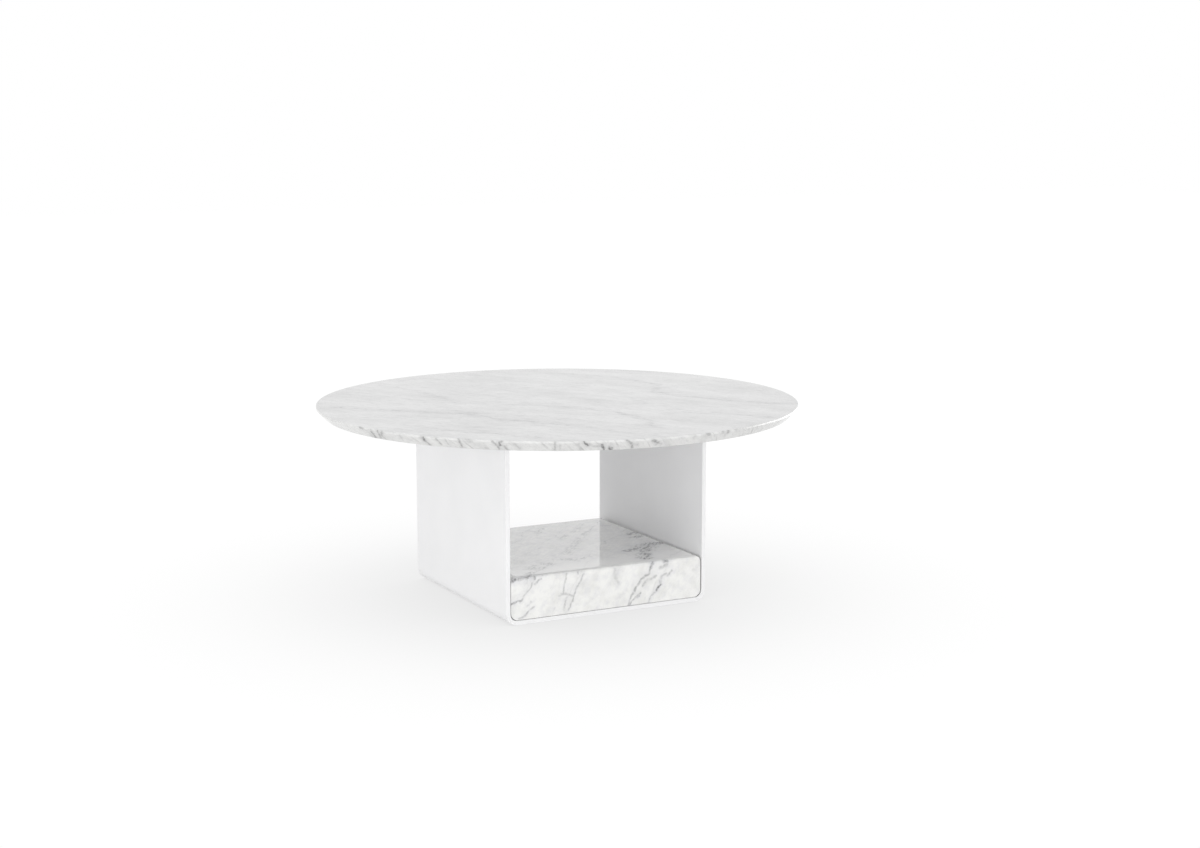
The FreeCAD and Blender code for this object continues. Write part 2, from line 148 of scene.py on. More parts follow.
def speckle(tree, place, scale, detail, roughness=0.5):
    """Soft noise on the piece, from 0 to 1."""
    made = place_node(
        tree,
        "ShaderNodeTexNoise",
        {"Vector": place, "Scale": scale, "Detail": detail, "Roughness": roughness},
    )
    return made.outputs[0]


def new_material(name):
    """A material with its node tree, its Principled shader and the piece's own coordinates."""
    material = bpy.data.materials.new(name)
    material.use_nodes = True
    tree = material.node_tree
    shader = tree.nodes["Principled BSDF"]
    place = tree.nodes.new("ShaderNodeTexCoord").outputs["Object"]
    return material, tree, shader, place


def raise_surface(tree, shader, height, depth):
    """Give a shader a fine relief of a depth in metres."""
    bump = place_node(tree, "ShaderNodeBump", {"Height": height, "Distance": depth, "Strength": 1})
    tree.links.new(bump.outputs[0], shader.inputs["Normal"])


powder_coat, coat_tree, coat_shader, coat_place = new_material("white_powder_coat")
coat_cloud = speckle(coat_tree, coat_place, COAT_CLOUD_SCALE, 4)
coat_peel = speckle(coat_tree, coat_place, COAT_PEEL_SCALE, 2)
coat_clouded = between(coat_tree, coat_cloud, *COAT_CLOUD_SPAN, 0, 1)
coat_tree.links.new(
    blend_colours(coat_tree, coat_clouded, COAT_SHADE, COAT_WHITE), coat_shader.inputs["Base Color"]
)
coat_tree.links.new(
    between(coat_tree, coat_peel, *NOISE_SPAN, *COAT_ROUGHNESS), coat_shader.inputs["Roughness"]
)
raise_surface(coat_tree, coat_shader, coat_peel, COAT_PEEL_DEPTH)

plate = bmesh.new()
bend_line = [
    plate.verts.new((base_low.x, base_low.y, base_high.z)),
    plate.verts.new((base_low.x, base_low.y, base_low.z)),
    plate.verts.new((base_high.x, base_low.y, base_low.z)),
    plate.verts.new((base_high.x, base_low.y, base_high.z)),
]
front_edges = [plate.edges.new(pair) for pair in zip(bend_line, bend_line[1:])]
drawn = bmesh.ops.extrude_edge_only(plate, edges=front_edges)
bmesh.ops.translate(plate, verts=verts_in(drawn["geom"]), vec=(0, base_high.y - base_low.y, 0))
bevel_edges(plate, sharp_edges(plate), PLATE_OUTER_BEND, BEND_SEGMENTS)
bmesh.ops.solidify(plate, geom=plate.faces[:], thickness=plate_thickness)
bevel_edges(plate, sharp_edges(plate), PLATE_ARRIS, ARRIS_SEGMENTS)
finished_piece(plate, "bent_plate", powder_coat, "white_powder_coat", "steel_base")

# Floor glides
# Thin discs of grey nylon pressed into recesses under the plate, one near each corner.
# They are moulded, with a faintly grained face that has scuffed on the floor.
NYLON_GREY = (0.42, 0.42, 0.43, 1)
NYLON_SCUFFED = (0.54, 0.54, 0.54, 1)
NYLON_GRAIN_SCALE = 900
NYLON_GRAIN_DEPTH = 0.0001
NYLON_SCUFF_SCALE = 160
NYLON_SCUFF_SPAN = (0.5, 0.62)
NYLON_ROUGHNESS = (0.5, 0.66)

nylon, nylon_tree, nylon_shader, nylon_place = new_material("grey_nylon")
nylon_grain = speckle(nylon_tree, nylon_place, NYLON_GRAIN_SCALE, 2)
nylon_rubbing = speckle(nylon_tree, nylon_place, NYLON_SCUFF_SCALE, 5)
nylon_scuff = between(nylon_tree, nylon_rubbing, *NYLON_SCUFF_SPAN, 0, 1)
nylon_tree.links.new(
    blend_colours(nylon_tree, nylon_scuff, NYLON_GREY, NYLON_SCUFFED), nylon_shader.inputs["Base Color"]
)
nylon_tree.links.new(
    between(nylon_tree, nylon_grain, *NOISE_SPAN, *NYLON_ROUGHNESS), nylon_shader.inputs["Roughness"]
)
raise_surface(nylon_tree, nylon_shader, nylon_grain, NYLON_GRAIN_DEPTH)


def dress(material, start):
    """Give every CAD node whose name starts so a material in place of its plain one."""
    for name, node in nodes.items():
        if name.startswith(start):
            node.data.materials.clear()
            node.data.materials.append(material)


dress(nylon, "floor_glide_")

# Block pads and side pads
# Squares of clear silicone that hold the marble block off the coated steel, below and at its sides.
# They are cut from soft sheet and stay where the block's weight presses them.
SILICONE = (0.78, 0.79, 0.8, 1)
SILICONE_CLOUDED = (0.7, 0.71, 0.72, 1)
SILICONE_CLOUD_SCALE = 120
SILICONE_ROUGHNESS = (0.3, 0.42)
SILICONE_CLEARNESS = 0.5
SILICONE_IOR = 1.41

silicone, silicone_tree, silicone_shader, silicone_place = new_material("clear_silicone")
silicone_cloud = speckle(silicone_tree, silicone_place, SILICONE_CLOUD_SCALE, 3)
silicone_tree.links.new(
    blend_colours(silicone_tree, silicone_cloud, SILICONE, SILICONE_CLOUDED),
    silicone_shader.inputs["Base Color"],
)
silicone_tree.links.new(
    between(silicone_tree, silicone_cloud, *NOISE_SPAN, *SILICONE_ROUGHNESS),
    silicone_shader.inputs["Roughness"],
)
silicone_shader.inputs["Transmission Weight"].default_value = SILICONE_CLEARNESS
silicone_shader.inputs["IOR"].default_value = SILICONE_IOR
dress(silicone, "block_pad_")
dress(silicone, "side_pad_")

# Marble block
# The ballast: a sawn and polished block of white marble whose grey veins lean across it in pairs.
# Its long edges are rounded to nest in the plate's bends, its upper ends less so, and the rest is eased.
BLOCK_EDGE = 0.016
BLOCK_ARRIS = 0.002
BLOCK_NOSE = 0.01
BLOCK_NOSE_FACETS = 12
BLOCK_EDGE_SEGMENTS = 12
BLOCK_ARRIS_SEGMENTS = 4
BLOCK_WHITE = (0.9, 0.9, 0.88, 1)
BLOCK_CLOUD = (0.76, 0.76, 0.74, 1)
# Painted light: the whiter colour laid over the front of the block's upper face.
BLOCK_PAINTED_LIGHT = (0.97, 0.97, 0.955, 1)
BLOCK_BLOOM = (0.58, 0.58, 0.64, 1)
BLOCK_VEIN = (0.09, 0.09, 0.095, 1)
# Painted shade: the dark grey laid on the block's front right arris, for the shaded gap beside the wall.
BLOCK_GAP_SHADE = (0.3, 0.3, 0.29, 1)
BLOCK_VEIN_FACING = Vector((0.67, -0.6, -0.44))
BLOCK_GRAIN_DRAW = 1.3
BLOCK_STREAK_DRAW = 3.5
BLOCK_CLOUD_SCALE = 38
BLOCK_CLOUD_SPAN = (0.45, 0.72)
BLOCK_MOTTLE_SCALE = 70
BLOCK_MOTTLE_SPAN = (0.46, 0.66)
BLOCK_STREAK_SCALE = 190
BLOCK_STREAK_SPAN = (0.46, 0.6)
BLOCK_GRIT_SCALE = 180
GRIT_SPAN = (0.38, 0.6)
GRIT_GIVES = (0.5, 1.1)
GRIT_FULL = 0.8
BLOCK_UPPER_GRIT = (0.25, 1)
BLOCK_VEIN_SCALE = 13
BLOCK_VEIN_WANDER = 0.075
BLOCK_BLOOM_WIDTH = 0.016
BLOCK_VEIN_GAPS = 0.4
BLOCK_FRONT_WAVER_SCALE = 55
BLOCK_FRONT_WAVER = (0.012, 0.012, 0.012)
BLOCK_UPPER_WAVER_SCALE = 45
BLOCK_UPPER_WAVER = (0.04, 0.04, 0.01)
# The veins through the stone come out towards the back, and the upper face is painted whiter towards the
# front, as painted light where light from the front falls on it.
BLOCK_VEINS_FADE = (-0.2, 0.05)
BLOCK_VEINS_STRENGTH = (0.15, 0.6)
BLOCK_PAINTED_LIGHT_FADE = (-0.12, -0.215)
BLOCK_MOTTLE_STAIN = 0.25
BLOCK_STREAK_STAIN = 0.22
BLOCK_PAINTED_LIGHT_STAIN = 0.95
BLOCK_FRONT_HAZE_STAIN = 0.25
BLOCK_UPPER_HAZE_STAIN = 0.3
BLOCK_BLOOM_STAIN = 0.4
BLOCK_VEIN_STAIN = 0.85
BLOCK_FRONT_LINE_STAIN = 0.82
BLOCK_UPPER_LINE_STAIN = 1.0
BLOCK_GAP_SHADE_STAIN = 0.9
BLOCK_ROUGHNESS = (0.04, 0.07)
BLOCK_RELIEF_SCALE = 300
BLOCK_RELIEF_DEPTH = 0.00001
BLOCK_POLISH = 0.5
BLOCK_POLISH_ROUGHNESS = 0.02
# Each vein through the stone: where it lies along the grain, how wide it is, and how dark.
BLOCK_VEINS = (
    (-0.28, 0.0026, 0.8),
    (-0.21, 0.002, 0.5),
    (-0.14, 0.002, 0.5),
    (-0.075, 0.002, 0.4),
    (-0.018, 0.0024, 0.8),
    (0.047, 0.0024, 0.8),
    (0.12, 0.002, 0.45),
    (0.205, 0.003, 1.0),
)
# Each vein on the block's front: the points it runs through, across and up, its width and its darkness.
BLOCK_FRONT_VEINS = (
    (((-0.234, 0.045), (-0.216, 0.053), (-0.208, 0.052)), 0.004, 0.7),
    (((-0.21, 0.049), (-0.196, 0.066), (-0.184, 0.08), (-0.18, 0.088)), 0.004, 0.45),
    (((-0.174, 0.085), (-0.169, 0.09), (-0.16, 0.095)), 0.004, 0.5),
    (((-0.226, 0.097), (-0.219, 0.101)), 0.006, 1.0),
    (((-0.212, 0.1), (-0.192, 0.101)), 0.006, 0.7),
    (((-0.185, 0.102), (-0.172, 0.102), (-0.15, 0.103)), 0.004, 0.6),
    (((-0.176, 0.095), (-0.174, 0.103)), 0.004, 0.7),
    (((-0.212, 0.014), (-0.2, 0.018), (-0.192, 0.026), (-0.178, 0.036)), 0.004, 0.5),
    (((-0.193, 0.038), (-0.184, 0.047)), 0.004, 0.3),
    (((-0.099, 0.1), (-0.102, 0.088), (-0.106, 0.076), (-0.109, 0.057), (-0.118, 0.052)), 0.004, 0.45),
    (((-0.113, 0.057), (-0.104, 0.057), (-0.096, 0.052), (-0.084, 0.049)), 0.005, 0.4),
    (((-0.1, 0.048), (-0.104, 0.034), (-0.108, 0.022)), 0.004, 0.4),
    (((-0.06, 0.093), (-0.073, 0.07), (-0.082, 0.051), (-0.086, 0.037), (-0.097, 0.021)), 0.004, 0.5),
    (((-0.073, 0.104), (-0.073, 0.095)), 0.004, 0.6),
    (((-0.134, 0.02), (-0.129, 0.028)), 0.004, 0.3),
    (((0.016, 0.096), (0.016, 0.08), (0.024, 0.064)), 0.006, 0.25),
    (((0.112, 0.104), (0.105, 0.09)), 0.005, 0.9),
    (((0.105, 0.088), (0.099, 0.077), (0.08, 0.064), (0.056, 0.031), (0.049, 0.01)), 0.005, 0.6),
    (((0.118, 0.07), (0.108, 0.066), (0.096, 0.062), (0.084, 0.052)), 0.005, 0.45),
    (((0.079, 0.036), (0.07, 0.028), (0.06, 0.02), (0.05, 0.01)), 0.004, 0.6),
    (((0.157, 0.077), (0.147, 0.068)), 0.005, 0.7),
    (((0.143, 0.073), (0.133, 0.069), (0.128, 0.058), (0.128, 0.05)), 0.005, 0.4),
    (((0.128, 0.05), (0.121, 0.041), (0.115, 0.033)), 0.004, 1.0),
    (((0.115, 0.034), (0.105, 0.026), (0.098, 0.01)), 0.004, 0.45),
    (((0.147, 0.099), (0.14, 0.101)), 0.007, 0.8),
    (((0.13, 0.088), (0.143, 0.091)), 0.007, 0.55),
    (((0.222, 0.076), (0.211, 0.072)), 0.005, 0.25),
)
# The same for the veins on the block's upper face, with points across and back.
BLOCK_UPPER_VEINS = (
    (((0.215, -0.095), (0.19, -0.092), (0.165, -0.1), (0.15, -0.108)), 0.022, 1.0),
    (((0.168, -0.116), (0.155, -0.128), (0.14, -0.155)), 0.026, 1.0),
    (((0.136, -0.168), (0.125, -0.185), (0.108, -0.212)), 0.019, 1.0),
    (((0.145, -0.11), (0.11, -0.132)), 0.018, 0.9),
    (((0.126, -0.165), (0.1, -0.2)), 0.014, 0.5),
    (((0.218, 0.028), (0.195, 0.015)), 0.018, 0.8),
    (((0.208, -0.008), (0.182, -0.018)), 0.018, 0.8),
    (((-0.14, -0.165), (-0.16, -0.19)), 0.018, 0.45),
    (((-0.115, -0.15), (-0.106, -0.168)), 0.018, 0.5),
    (((-0.128, -0.182), (-0.15, -0.202)), 0.018, 0.45),
    (((-0.17, -0.214), (-0.188, -0.234)), 0.018, 0.45),
    (((-0.055, -0.138), (-0.035, -0.155)), 0.018, 0.4),
    (((-0.015, -0.148), (0.0, -0.138)), 0.016, 0.4),
    (((-0.03, -0.095), (0.0, -0.06), (0.05, 0.005), (0.07, 0.035)), 0.02, 0.33),
    (((0.1, 0.065), (0.118, 0.086)), 0.018, 0.3),
    (((0.038, 0.052), (0.058, 0.074)), 0.018, 0.3),
    (((0.0, 0.11), (0.025, 0.15), (0.05, 0.18)), 0.012, 0.3),
    (((0.09, 0.095), (0.14, 0.165)), 0.016, 0.25),
)

block_low, block_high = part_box("marble_block")


def new_group(name, places, numbers, outputs):
    """A shader node group with places and numbers going in and numbers coming out."""
    group = bpy.data.node_groups.new(name, "ShaderNodeTree")
    for socket in places:
        group.interface.new_socket(socket, in_out="INPUT", socket_type="NodeSocketVector")
    for socket in numbers:
        group.interface.new_socket(socket, in_out="INPUT", socket_type="NodeSocketFloat")
    for socket in outputs:
        group.interface.new_socket(socket, in_out="OUTPUT", socket_type="NodeSocketFloat")
    given = group.nodes.new("NodeGroupInput").outputs
    result = group.nodes.new("NodeGroupOutput").inputs
    return group, given, result


VALUE_STEPS = ("DOT_PRODUCT", "DISTANCE", "LENGTH")
SHEET_SHIFT_BACK = 23
SHEET_SHIFT_UP = 41
SHEET_PATCH_SHIFT = (3.7, 1.3, 8.1)
SHEET_SWELL_FINER = 4
SHEET_PATCH_FINER = 2
SHEET_LINE_SWELL = (0.2, 1.6)
SHEET_BLOOM_SWELL = (0.4, 1.6)
SHEET_DEPTH_SPAN = (0.35, 0.6)
SHEET_DEPTH = (0.35, 1)
SHEET_GAP_EDGE = 0.1
HAZE_WIDENING = 3


def reckon(tree, operation, *inputs):
    """One step of arithmetic on places, which gives a place or, for some steps, a value."""
    made = place_node(tree, "ShaderNodeVectorMath", dict(enumerate(inputs)), operation=operation)
    return made.outputs["Value" if operation in VALUE_STEPS else "Vector"]


def vein_sheet_group():
    """One vein: a thin sheet through the stone that wavers, swells and breaks off, with a bloom beside it.

    Offset is where the sheet lies along the first axis; it breaks off where a noise is below Gaps.
    """
    group, given, result = new_group(
        "vein_sheet",
        ("Place",),
        ("Offset", "Scale", "Wander", "Width", "Bloom Width", "Gaps"),
        ("Line", "Bloom"),
    )
    along = place_node(group, "ShaderNodeSeparateXYZ", {0: given["Place"]}).outputs["X"]
    shift_back = calculate(group, "MULTIPLY", given["Offset"], SHEET_SHIFT_BACK)
    shift_up = calculate(group, "MULTIPLY", given["Offset"], SHEET_SHIFT_UP)
    apart = place_node(group, "ShaderNodeCombineXYZ", {"Y": shift_back, "Z": shift_up})
    own_place = reckon(group, "ADD", given["Place"], apart.outputs[0])
    bend = speckle(group, own_place, given["Scale"], 5, 0.55)
    bent = calculate(group, "MULTIPLY", calculate(group, "SUBTRACT", bend, 0.5), given["Wander"])
    from_sheet = calculate(group, "SUBTRACT", calculate(group, "ADD", along, bent), given["Offset"])
    off_line = calculate(group, "ABSOLUTE", from_sheet)
    swell = speckle(group, own_place, calculate(group, "MULTIPLY", given["Scale"], SHEET_SWELL_FINER), 2)
    line_swell = between(group, swell, *NOISE_SPAN, *SHEET_LINE_SWELL)
    line_width = calculate(group, "MULTIPLY", given["Width"], line_swell)
    bloom_swell = between(group, swell, *NOISE_SPAN, *SHEET_BLOOM_SWELL)
    bloom_width = calculate(group, "MULTIPLY", given["Bloom Width"], bloom_swell)
    line = between(group, off_line, line_width, 0, 0, 1, "SMOOTHSTEP")
    bloom = between(group, off_line, bloom_width, 0, 0, 1, "SMOOTHSTEP")
    depth = between(group, swell, *SHEET_DEPTH_SPAN, *SHEET_DEPTH)
    patches_place = reckon(group, "ADD", own_place, SHEET_PATCH_SHIFT)
    patches_scale = calculate(group, "MULTIPLY", given["Scale"], SHEET_PATCH_FINER)
    patches = speckle(group, patches_place, patches_scale, 3)
    gaps_end = calculate(group, "SUBTRACT", given["Gaps"], SHEET_GAP_EDGE)
    whole_from = calculate(group, "ADD", given["Gaps"], SHEET_GAP_EDGE)
    kept = between(group, patches, gaps_end, whole_from, 0, 1)
    line_kept = calculate(group, "MULTIPLY", line, kept)
    group.links.new(calculate(group, "MULTIPLY", line_kept, depth), result["Line"])
    group.links.new(calculate(group, "MULTIPLY", bloom, kept), result["Bloom"])
    return group


def vein_run_group():
    """How far a place is from one straight run of a vein, between the run's two ends."""
    group, given, result = new_group("vein_run", ("Place", "Start", "End"), (), ("Away",))
    run = reckon(group, "SUBTRACT", given["End"], given["Start"])
    from_start = reckon(group, "SUBTRACT", given["Place"], given["Start"])
    reached = reckon(group, "DOT_PRODUCT", from_start, run)
    share = between(group, reached, 0, reckon(group, "DOT_PRODUCT", run, run), 0, 1)
    along = place_node(group, "ShaderNodeVectorMath", {"Vector": run, "Scale": share}, operation="SCALE")
    nearest = reckon(group, "ADD", given["Start"], along.outputs["Vector"])
    group.links.new(reckon(group, "DISTANCE", given["Place"], nearest), result["Away"])
    return group


VEIN_SHEET = vein_sheet_group()
VEIN_RUN = vein_run_group()


def stone_grain(tree, place, facing, stretch):
    """Coordinates turned until the stone's layers lie across the first axis, and drawn out along them."""
    turn = facing.to_track_quat("X", "Z").to_euler()
    made = place_node(
        tree,
        "ShaderNodeMapping",
        {"Vector": place, "Rotation": turn, "Scale": (1, stretch, stretch)},
        vector_type="TEXTURE",
    )
    return made.outputs[0]


def vein_sheets(tree, place, veins, scale, wander, bloom_width, gaps):
    """Several veins together, as their lines and their blooms."""
    lines = blooms = 0.0
    for offset, width, darkness in veins:
        made = place_node(
            tree,
            "ShaderNodeGroup",
            node_tree=VEIN_SHEET,
            inputs={
                "Place": place,
                "Offset": offset,
                "Scale": scale,
                "Wander": wander,
                "Width": width,
                "Bloom Width": bloom_width,
                "Gaps": gaps,
            },
        )
        line = calculate(tree, "MULTIPLY", made.outputs["Line"], darkness)
        lines = calculate(tree, "MAXIMUM", lines, line)
        bloom = calculate(tree, "MULTIPLY", made.outputs["Bloom"], darkness)
        blooms = calculate(tree, "MAXIMUM", blooms, bloom)
    return lines, blooms


def drawn_veins(tree, place, veins, to_point):
    """Veins that run through given points, as one mask of lines and one of the haze about them."""
    lines = hazes = 0.0
    for points, width, darkness in veins:
        spots = [to_point(*point) for point in points]
        away = 1.0
        for start, end in zip(spots, spots[1:]):
            run = place_node(
                tree,
                "ShaderNodeGroup",
                node_tree=VEIN_RUN,
                inputs={"Place": place, "Start": start, "End": end},
            )
            away = calculate(tree, "MINIMUM", away, run.outputs["Away"])
        line = between(tree, away, width, 0, 0, darkness, "SMOOTHSTEP")
        haze = between(tree, away, HAZE_WIDENING * width, 0, 0, darkness, "SMOOTHSTEP")
        lines = calculate(tree, "MAXIMUM", lines, line)
        hazes = calculate(tree, "MAXIMUM", hazes, haze)
    return lines, hazes


def wandering(tree, place, scale, reach):
    """A place pushed about by soft noise, so that what is drawn on it wavers."""
    noise = place_node(
        tree, "ShaderNodeTexNoise", {"Vector": place, "Scale": scale, "Detail": 5, "Roughness": 0.6}
    )
    push = reckon(tree, "SUBTRACT", noise.outputs["Color"], (0.5, 0.5, 0.5))
    return reckon(tree, "MULTIPLY_ADD", push, reach, place)


def stained(tree, colour, stain, mask, amount):
    """A colour with a stain over it, by a mask and an amount."""
    return blend_colours(tree, calculate(tree, "MULTIPLY", mask, amount), colour, stain)


block_marble, block_tree, block_shader, block_place = new_material("block_marble")
block_grain = stone_grain(block_tree, block_place, BLOCK_VEIN_FACING, BLOCK_GRAIN_DRAW)
block_streaks_place = stone_grain(block_tree, block_place, BLOCK_VEIN_FACING, BLOCK_STREAK_DRAW)
block_axes = place_node(block_tree, "ShaderNodeSeparateXYZ", {0: block_place}).outputs
block_lines, block_blooms = vein_sheets(
    block_tree,
    block_grain,
    BLOCK_VEINS,
    BLOCK_VEIN_SCALE,
    BLOCK_VEIN_WANDER,
    BLOCK_BLOOM_WIDTH,
    BLOCK_VEIN_GAPS,
)
front_waver = wandering(block_tree, block_place, BLOCK_FRONT_WAVER_SCALE, BLOCK_FRONT_WAVER)
upper_waver = wandering(block_tree, block_place, BLOCK_UPPER_WAVER_SCALE, BLOCK_UPPER_WAVER)
front_lines, front_hazes = drawn_veins(
    block_tree, front_waver, BLOCK_FRONT_VEINS, lambda across, up: (across, block_low.y, up)
)
upper_lines, upper_hazes = drawn_veins(
    block_tree, upper_waver, BLOCK_UPPER_VEINS, lambda across, back: (across, back, block_high.z)
)
block_clouds = speckle(block_tree, block_grain, BLOCK_CLOUD_SCALE, 6, 0.6)
block_mottle = speckle(block_tree, block_grain, BLOCK_MOTTLE_SCALE, 5, 0.65)
block_mottle = between(block_tree, block_mottle, *BLOCK_MOTTLE_SPAN, 0, 1)
block_streaks = speckle(block_tree, block_streaks_place, BLOCK_STREAK_SCALE, 4, 0.6)
block_streaks = between(block_tree, block_streaks, *BLOCK_STREAK_SPAN, 0, 1)
line_grit = speckle(block_tree, block_place, BLOCK_GRIT_SCALE, 3)
line_grit = between(block_tree, line_grit, *GRIT_SPAN, *GRIT_GIVES)
upper_grit = between(block_tree, block_streaks, 0, GRIT_FULL, *BLOCK_UPPER_GRIT)
front_lines = calculate(block_tree, "MULTIPLY", front_lines, line_grit)
upper_lines = calculate(block_tree, "MULTIPLY", upper_lines, upper_grit)
behind = between(block_tree, block_axes["Y"], *BLOCK_VEINS_FADE, *BLOCK_VEINS_STRENGTH)
on_top = between(block_tree, block_axes["Z"], block_high.z - BLOCK_ARRIS, block_high.z, 0, 1)
streaks_on_top = calculate(block_tree, "MULTIPLY", block_streaks, on_top)
# Painted light: the upper face is whitened towards its front edge, where light from the front falls in
# under the slab.
near_front = between(block_tree, block_axes["Y"], *BLOCK_PAINTED_LIGHT_FADE, 0, 1, "SMOOTHSTEP")
painted_light_mask = calculate(block_tree, "MULTIPLY", near_front, on_top)
blooms_behind = calculate(block_tree, "MULTIPLY", block_blooms, behind)
lines_behind = calculate(block_tree, "MULTIPLY", block_lines, behind)
# The arris on the right of the front is painted dark, as painted shade for the shaded gap beside the wall,
# and shows as a dark line there; its mask goes by how far a place is inside the outline of the block's
# section.
past_side = calculate(block_tree, "SUBTRACT", block_axes["X"], block_high.x - BLOCK_EDGE)
from_mid_height = calculate(block_tree, "SUBTRACT", block_axes["Z"], (block_low.z + block_high.z) / 2)
off_mid_height = calculate(block_tree, "ABSOLUTE", from_mid_height)
half_height = (block_high.z - block_low.z) / 2
past_height = calculate(block_tree, "SUBTRACT", off_mid_height, half_height - BLOCK_EDGE)
past_side_only = calculate(block_tree, "MAXIMUM", past_side, 0)
past_height_only = calculate(block_tree, "MAXIMUM", past_height, 0)
past_both = place_node(block_tree, "ShaderNodeCombineXYZ", {"X": past_side_only, "Y": past_height_only})
past_corner = reckon(block_tree, "LENGTH", past_both.outputs[0])
from_outline = calculate(block_tree, "SUBTRACT", BLOCK_EDGE, past_corner)
gap_shade_mask = between(block_tree, from_outline, BLOCK_ARRIS, BLOCK_ARRIS / 2, 0, 1)
for coordinate, unshaded_from, shaded_from in (
    (block_axes["Y"], block_low.y + 2 * BLOCK_ARRIS, block_low.y + BLOCK_ARRIS),
    (block_axes["Z"], block_high.z - BLOCK_NOSE / 2, block_high.z - BLOCK_NOSE),
    (past_side, 0, BLOCK_EDGE / 2),
):
    reached = between(block_tree, coordinate, unshaded_from, shaded_from, 0, 1)
    gap_shade_mask = calculate(block_tree, "MULTIPLY", gap_shade_mask, reached)
block_clouded = between(block_tree, block_clouds, *BLOCK_CLOUD_SPAN, 0, 1)
block_colour = blend_colours(block_tree, block_clouded, BLOCK_WHITE, BLOCK_CLOUD)
# Of these stains, the whitening at the front of the upper face is painted light and the dark arris is
# painted shade; the others are the stone's own tone and veins.
for stain, stain_mask, stain_amount in (
    (BLOCK_BLOOM, block_mottle, BLOCK_MOTTLE_STAIN),
    (BLOCK_BLOOM, streaks_on_top, BLOCK_STREAK_STAIN),
    (BLOCK_PAINTED_LIGHT, painted_light_mask, BLOCK_PAINTED_LIGHT_STAIN),
    (BLOCK_BLOOM, front_hazes, BLOCK_FRONT_HAZE_STAIN),
    (BLOCK_BLOOM, upper_hazes, BLOCK_UPPER_HAZE_STAIN),
    (BLOCK_BLOOM, blooms_behind, BLOCK_BLOOM_STAIN),
    (BLOCK_VEIN, lines_behind, BLOCK_VEIN_STAIN),
    (BLOCK_VEIN, front_lines, BLOCK_FRONT_LINE_STAIN),
    (BLOCK_VEIN, upper_lines, BLOCK_UPPER_LINE_STAIN),
    (BLOCK_GAP_SHADE, gap_shade_mask, BLOCK_GAP_SHADE_STAIN),
):
    block_colour = stained(block_tree, block_colour, stain, stain_mask, stain_amount)
block_tree.links.new(block_colour, block_shader.inputs["Base Color"])
block_tree.links.new(
    between(block_tree, block_blooms, 0, 1, *BLOCK_ROUGHNESS), block_shader.inputs["Roughness"]
)
block_relief = speckle(block_tree, block_place, BLOCK_RELIEF_SCALE, 3)
raise_surface(block_tree, block_shader, block_relief, BLOCK_RELIEF_DEPTH)
block_shader.inputs["Coat Weight"].default_value = BLOCK_POLISH
block_shader.inputs["Coat Roughness"].default_value = BLOCK_POLISH_ROUGHNESS

block = bmesh.new()
block_size = block_high - block_low
block_middle = (block_low + block_high) / 2
bmesh.ops.create_cube(
    block, size=1, matrix=Matrix.Translation(block_middle) @ Matrix.Diagonal((*block_size, 1))
)
long_edges = [edge for edge in block.edges if edge.verts[0].co.y != edge.verts[1].co.y]
bevel_edges(block, long_edges, BLOCK_EDGE, BLOCK_EDGE_SEGMENTS)
bevel_edges(block, sharp_edges(block), BLOCK_ARRIS, BLOCK_ARRIS_SEGMENTS)
for end_y, outward in ((block_low.y, -1), (block_high.y, 1)):
    nose_axis = Vector((0, end_y - outward * BLOCK_NOSE, block_high.z - BLOCK_NOSE))
    for facet in range(BLOCK_NOSE_FACETS):
        tilt = radians(90) * (facet + 0.5) / BLOCK_NOSE_FACETS
        facing = Vector((0, outward * sin(tilt), cos(tilt)))
        cut = bmesh.ops.bisect_plane(
            block,
            geom=block.verts[:] + block.edges[:] + block.faces[:],
            plane_co=nose_axis + BLOCK_NOSE * facing,
            plane_no=facing,
            clear_outer=True,
        )
        rim_of_cut = [item for item in cut["geom_cut"] if isinstance(item, bmesh.types.BMEdge)]
        bmesh.ops.contextual_create(block, geom=rim_of_cut)
for edge in sharp_edges(block):
    edge.smooth = False
finished_piece(block, "ballast_block", block_marble, "block_marble", "marble_block")

# Mounting plate and its welds
# A flat steel plate let in between the wall tops, which squares the U and carries the slab.
# Short stitches of weld in the corners under it hold it to the walls, each laid in overlapping ripples.
BEAD_LENGTH = 0.04
BEAD_RIPPLES = 14
BEAD_CROWN = 0.6
BEAD_DIP = 0.84
BEAD_END = 0.6

